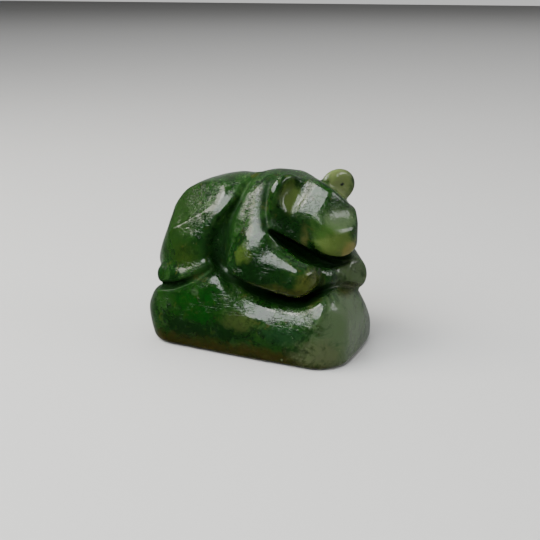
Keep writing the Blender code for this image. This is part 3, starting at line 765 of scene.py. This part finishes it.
def calculated(tree, operation, *values):
    """The values combined by the given operation."""
    return add(tree, "ShaderNodeMath", dict(enumerate(values)), operation=operation).outputs[0]


def calculated_vector(tree, operation, *vectors):
    """The vectors combined by the given operation."""
    made = add(tree, "ShaderNodeVectorMath", dict(enumerate(vectors)), operation=operation)
    return made.outputs["Vector"]


def marked(tree, name):
    """The mark of the given name on the mesh."""
    return add(tree, "ShaderNodeAttribute", attribute_name=name).outputs["Fac"]


def noise(tree, place, kind):
    """One of the noises, from 0 to 1."""
    scale, detail, distortion, roughness = NOISES[kind]
    inputs = {"Vector": place, "Scale": scale, "Detail": detail, "Distortion": distortion,
              "Roughness": roughness}
    return add(tree, "ShaderNodeTexNoise", inputs).outputs["Fac"]


def ramp(tree, value, low, high, to_low=0.0, to_high=1.0):
    """The value from low to high turned smoothly into the two given ends."""
    inputs = {"Value": value, "From Min": low, "From Max": high,
              "To Min": to_low, "To Max": to_high}
    made = add(tree, "ShaderNodeMapRange", inputs, interpolation_type="SMOOTHSTEP")
    return made.outputs["Result"]


def mixed(tree, share, under, over):
    """The under colour with a share of the over colour."""
    made = add(tree, "ShaderNodeMix", data_type="RGBA")
    for name, value in (("Factor_Float", share), ("A_Color", under), ("B_Color", over)):
        socket = next(each for each in made.inputs if each.identifier == name)
        if isinstance(value, bpy.types.NodeSocket):
            tree.links.new(value, socket)
        else:
            socket.default_value = (*value, 1.0)
    return next(each for each in made.outputs if each.identifier == "Result_Color")


def patch_share(tree, place, wander, middle, half, share):
    """How much of a patch shows at each place: its edge wanders with the noise."""
    offset = calculated_vector(tree, "SUBTRACT", place, middle)
    reach = calculated_vector(tree, "DIVIDE", offset, half)
    far = add(tree, "ShaderNodeVectorMath", {0: reach}, operation="LENGTH").outputs["Value"]
    far = calculated(tree, "MULTIPLY_ADD", wander, WANDER, far)
    return ramp(tree, far, 0.5 * WANDER + PATCH_CORE, 0.5 * WANDER + PATCH_EDGE, share, 0.0)


def largest_share(tree, place, wander, patches):
    """The most that any of the patches shows at each place."""
    shares = [patch_share(tree, place, wander, *patch) for patch in patches]
    largest = shares[0]
    for share in shares[1:]:
        largest = calculated(tree, "MAXIMUM", largest, share)
    return largest


def layered(tree, colour, noises, layers, uneven=1.0):
    """The colour with the layers over it. They fade where the colour is to be even."""
    for kind, low, high, share, tint in layers:
        shown = ramp(tree, noises[kind], low, high, 0.0, share)
        colour = mixed(tree, calculated(tree, "MULTIPLY", shown, uneven), colour, tint)
    return colour


def specks(tree, place):
    """How much of a speck shows at each place."""
    inputs = {"Vector": place, "Scale": SPECK_CELLS, "Randomness": 1.0}
    away = add(tree, "ShaderNodeTexVoronoi", inputs).outputs["Distance"]
    size = ramp(tree, noise(tree, place, "specks"), *SPECK_RANGE, 0.0, SPECK_SIZE)
    shown = ramp(tree, calculated(tree, "SUBTRACT", size, away), 0.0, SPECK_EDGE)
    return calculated(tree, "MULTIPLY", shown, SPECK_SHARE)


def stone_colour(tree, place, wander, hollow):
    """The green of the stone with its clouds, patches and specks, and painted shade in the hollows.
    """
    noises = {kind: noise(tree, place, kind)
              for kind in ("clouds", "wisps", "mottle", "blotch", "rust")}
    uneven = ramp(tree, largest_share(tree, place, wander, EVEN_PLACES), 0.0, 1.0, 1.0, 0.0)
    colour = layered(tree, DEEP_GREEN, noises, UNDER_LAYERS)
    colour = layered(tree, colour, noises, UNDER_RUST, uneven)
    for middle, half, tint, share in PATCHES:
        shown = patch_share(tree, place, wander, middle, half, share)
        colour = mixed(tree, shown, colour, tint)
    colour = layered(tree, colour, noises, OVER_LAYERS, uneven)
    colour = mixed(tree, specks(tree, place), colour, PALE_SPECK)
    # Painted shade: the colour darkens towards the dark vein colour where the surface closes in round
    # a hollow.
    return mixed(tree, calculated(tree, "MULTIPLY", hollow, PAINTED_HOLLOW_SHADE), colour, DARK_VEIN_AND_SHADE)


def pits_and_scratches(tree, place, wander):
    """How deep a pit or a brushed scratch is at each place."""
    worn = ramp(tree, noise(tree, place, "wear"), *WEAR_RANGE)
    elsewhere = ramp(tree, largest_share(tree, place, wander, SMOOTH_PLACES), 0.0, 1.0, 1.0, 0.0)
    worn = calculated(tree, "MULTIPLY", worn, elsewhere)
    worn = calculated(tree, "MAXIMUM", worn, largest_share(tree, place, wander, WORN_PLACES))
    flecks = ramp(tree, noise(tree, place, "flecks"), *FLECK_RANGE)
    brushed = calculated_vector(tree, "MULTIPLY", place, BRUSHING)
    scratches = ramp(tree, noise(tree, brushed, "scratches"), *SCRATCH_RANGE)
    return calculated(tree, "MULTIPLY", calculated(tree, "MAXIMUM", flecks, scratches), worn)


def relief(tree, place, pits):
    """The way the surface faces with its ripple, its grain and its pits."""
    strength, height = RIPPLE
    ripple = {"Strength": strength, "Distance": height * MM, "Height": noise(tree, place, "ripple")}
    facing = add(tree, "ShaderNodeBump", ripple).outputs["Normal"]
    strength, height = GRAIN
    grain = {"Strength": strength, "Distance": height * MM, "Height": noise(tree, place, "grain")}
    facing = add(tree, "ShaderNodeBump", {**grain, "Normal": facing}).outputs["Normal"]
    strength, height = PITS
    sunk = {"Strength": strength, "Distance": height * MM, "Height": pits, "Normal": facing}
    return add(tree, "ShaderNodeBump", sunk, invert=True).outputs["Normal"]


def nephrite():
    """Deep green polished nephrite with clouds, paler and darker patches (a few of them painted
    reflection and glow), painted shade in the hollows, pits and fine marks.
    """
    material = bpy.data.materials.new("nephrite_jade")
    material.use_nodes = True
    tree = material.node_tree
    shader = tree.nodes["Principled BSDF"]
    metres = add(tree, "ShaderNodeTexCoord").outputs["Object"]
    inputs = {0: metres, "Scale": 1 / MM}
    place = add(tree, "ShaderNodeVectorMath", inputs, operation="SCALE").outputs["Vector"]
    wander = noise(tree, place, "wander")

    # The hollow mark paints shade into the colour, and it also makes the hollows rougher and less
    # glossy.
    hollow = ramp(tree, marked(tree, "hollow"), *HOLLOW_RANGE)
    colour = stone_colour(tree, place, wander, hollow)
    tree.links.new(colour, shader.inputs["Base Color"])

    lip = calculated(tree, "MULTIPLY", marked(tree, "dull"), DULL_SHARE)
    dull = calculated(tree, "MAXIMUM", hollow, lip)
    polish = ramp(tree, noise(tree, place, "polish"), *POLISH_RANGE, *POLISH_ROUGHNESS)
    roughness = calculated(tree, "MULTIPLY_ADD", dull, HOLLOW_ROUGHNESS, polish)
    tree.links.new(roughness, shader.inputs["Roughness"])
    facing = relief(tree, place, pits_and_scratches(tree, place, wander))
    tree.links.new(facing, shader.inputs["Normal"])

    shader.inputs["IOR"].default_value = REFRACTION
    shader.inputs["Specular IOR Level"].default_value = GLOSS
    gloss = ramp(tree, dull, 0.0, 1.0, GLOSS, DULL_GLOSS)
    tree.links.new(gloss, shader.inputs["Specular IOR Level"])
    shader.inputs["Subsurface Weight"].default_value = GLOW
    shader.inputs["Subsurface Radius"].default_value = GLOW_SPREAD
    shader.inputs["Subsurface Scale"].default_value = GLOW_DEPTH * MM
    return material


# The view: the width of the picture in pixels, where the camera stands round the carving in
# degrees, how far it is from the aimed place in millimetres, how many pixels a millimetre
# takes there, and the pixel that the aimed place comes to. Then the camera's own width and
# the nearest and farthest that it sees, in millimetres.
PICTURE = 540
CAMERA_TURN = 24.0
CAMERA_RISE = 18.0
CAMERA_DISTANCE = 190.0
PIXELS_PER_MM = 4.66
AIM = (0.0, 0.0, 17.0)
AIM_PIXEL = (260.5, 262.0)
SENSOR_WIDTH = 36.0
SEEN_FROM = 10.0
SEEN_TO = 20000.0


def way_towards(turn, rise):
    """The direction to a place with the given turn from the front and the given rise."""
    turn, rise = math.radians(turn), math.radians(rise)
    level = math.cos(rise)
    return Vector((math.sin(turn) * level, -math.cos(turn) * level, math.sin(rise)))


def place_camera():
    """The camera at the photograph's angle."""
    back = way_towards(CAMERA_TURN, CAMERA_RISE)
    turn = math.radians(CAMERA_TURN)
    right = Vector((math.cos(turn), math.sin(turn), 0.0))
    up = back.cross(right)
    middle = PICTURE / 2
    sideways = right * (middle - AIM_PIXEL[0]) + up * (AIM_PIXEL[1] - middle)
    lens = bpy.data.cameras.new("photo_camera")
    lens.sensor_width = SENSOR_WIDTH
    lens.lens = SENSOR_WIDTH * PIXELS_PER_MM * CAMERA_DISTANCE / PICTURE
    lens.clip_start = SEEN_FROM * MM
    lens.clip_end = SEEN_TO * MM
    camera = bpy.data.objects.new("photo_camera", lens)
    camera.location = (Vector(AIM) + sideways / PIXELS_PER_MM + back * CAMERA_DISTANCE) * MM
    camera.rotation_euler = back.to_track_quat("Z", "Y").to_euler()
    bpy.context.scene.collection.objects.link(camera)
    bpy.context.scene.camera = camera


# Lights: the compass turn of each from the front towards the head's end and its rise, in
# degrees, its distance and its two sizes in millimetres, its brightness and its colour.
WINDOW = (-20.0, 48.0, 500.0, (400.0, 380.0), 8.0, (0.95, 0.98, 0.98))
WARM_WINDOW = (-65.0, 48.0, 500.0, (240.0, 380.0), 8.5, (1.0, 0.95, 0.86))
CEILING = (170.0, 74.0, 1600.0, (1600.0, 1600.0), 2.3, (1.0, 1.0, 1.0))
SIDE_PANEL = (100.0, 30.0, 700.0, (320.0, 260.0), 5.0, (1.0, 1.0, 1.0))

# The room: the wall behind the carving and the dim room in front of it as the light that the
# carving gets, where between the two one turns into the other, and the wall as it is seen.
# Then the floor, its size in millimetres.
WALL_BEHIND = (0.30, 0.30, 0.296)
ROOM_IN_FRONT = (0.030, 0.030, 0.030)
ROOM_TURNS = (-0.2, 0.6)
SEEN_BEHIND = (0.64, 0.64, 0.632)
FLOOR_COLOUR = (0.57, 0.57, 0.565)
FLOOR_ROUGHNESS = 0.9
FLOOR_GLOSS = 0.1
FLOOR_SIZE = 6000.0


def area_light(name, turn, rise, distance, sizes, brightness, colour):
    """A flat rectangular light that faces the carving."""
    toward = way_towards(turn, rise)
    light = bpy.data.lights.new(name, "AREA")
    light.shape = "RECTANGLE"
    light.size, light.size_y = [size * MM for size in sizes]
    light.energy = brightness * math.pi * light.size * light.size_y
    light.color = colour
    lamp = bpy.data.objects.new(name, light)
    lamp.location = (Vector(AIM) + toward * distance) * MM
    lamp.rotation_euler = toward.to_track_quat("Z", "Y").to_euler()
    bpy.context.scene.collection.objects.link(lamp)
    return lamp


def room():
    """The room round the table: pale behind the carving and dim on the viewer's side."""
    world = bpy.data.worlds.new("room")
    world.use_nodes = True
    tree = world.node_tree
    toward = add(tree, "ShaderNodeTexCoord").outputs["Generated"]
    depth = add(tree, "ShaderNodeSeparateXYZ", {"Vector": toward}).outputs["Y"]
    around = mixed(tree, ramp(tree, depth, *ROOM_TURNS), ROOM_IN_FRONT, WALL_BEHIND)
    seen = add(tree, "ShaderNodeLightPath").outputs["Is Camera Ray"]
    tree.links.new(mixed(tree, seen, around, SEEN_BEHIND), tree.nodes["Background"].inputs["Color"])
    bpy.context.scene.world = world


def studio():
    """Plain pale floor, the room round it and soft window light."""
    mesh = bpy.data.meshes.new("floor")
    half = FLOOR_SIZE / 2 * MM
    corners = [(-half, -half, 0.0), (half, -half, 0.0), (half, half, 0.0), (-half, half, 0.0)]
    mesh.from_pydata(corners, [], [(0, 1, 2, 3)])
    floor = bpy.data.objects.new("floor", mesh)
    bpy.context.scene.collection.objects.link(floor)
    material = bpy.data.materials.new("pale_floor")
    material.use_nodes = True
    paint = material.node_tree.nodes["Principled BSDF"]
    paint.inputs["Base Color"].default_value = (*FLOOR_COLOUR, 1.0)
    paint.inputs["Roughness"].default_value = FLOOR_ROUGHNESS
    paint.inputs["Specular IOR Level"].default_value = FLOOR_GLOSS
    mesh.materials.append(material)
    floor.visible_glossy = False
    room()
    area_light("window", *WINDOW)
    area_light("warm_window", *WARM_WINDOW)
    area_light("ceiling", *CEILING).visible_glossy = False
    area_light("side_panel", *SIDE_PANEL)


bear = carved_bear()
bear.data.materials.clear()
bear.data.materials.append(nephrite())
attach(bear, "root")
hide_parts(NODE)
place_camera()
studio()
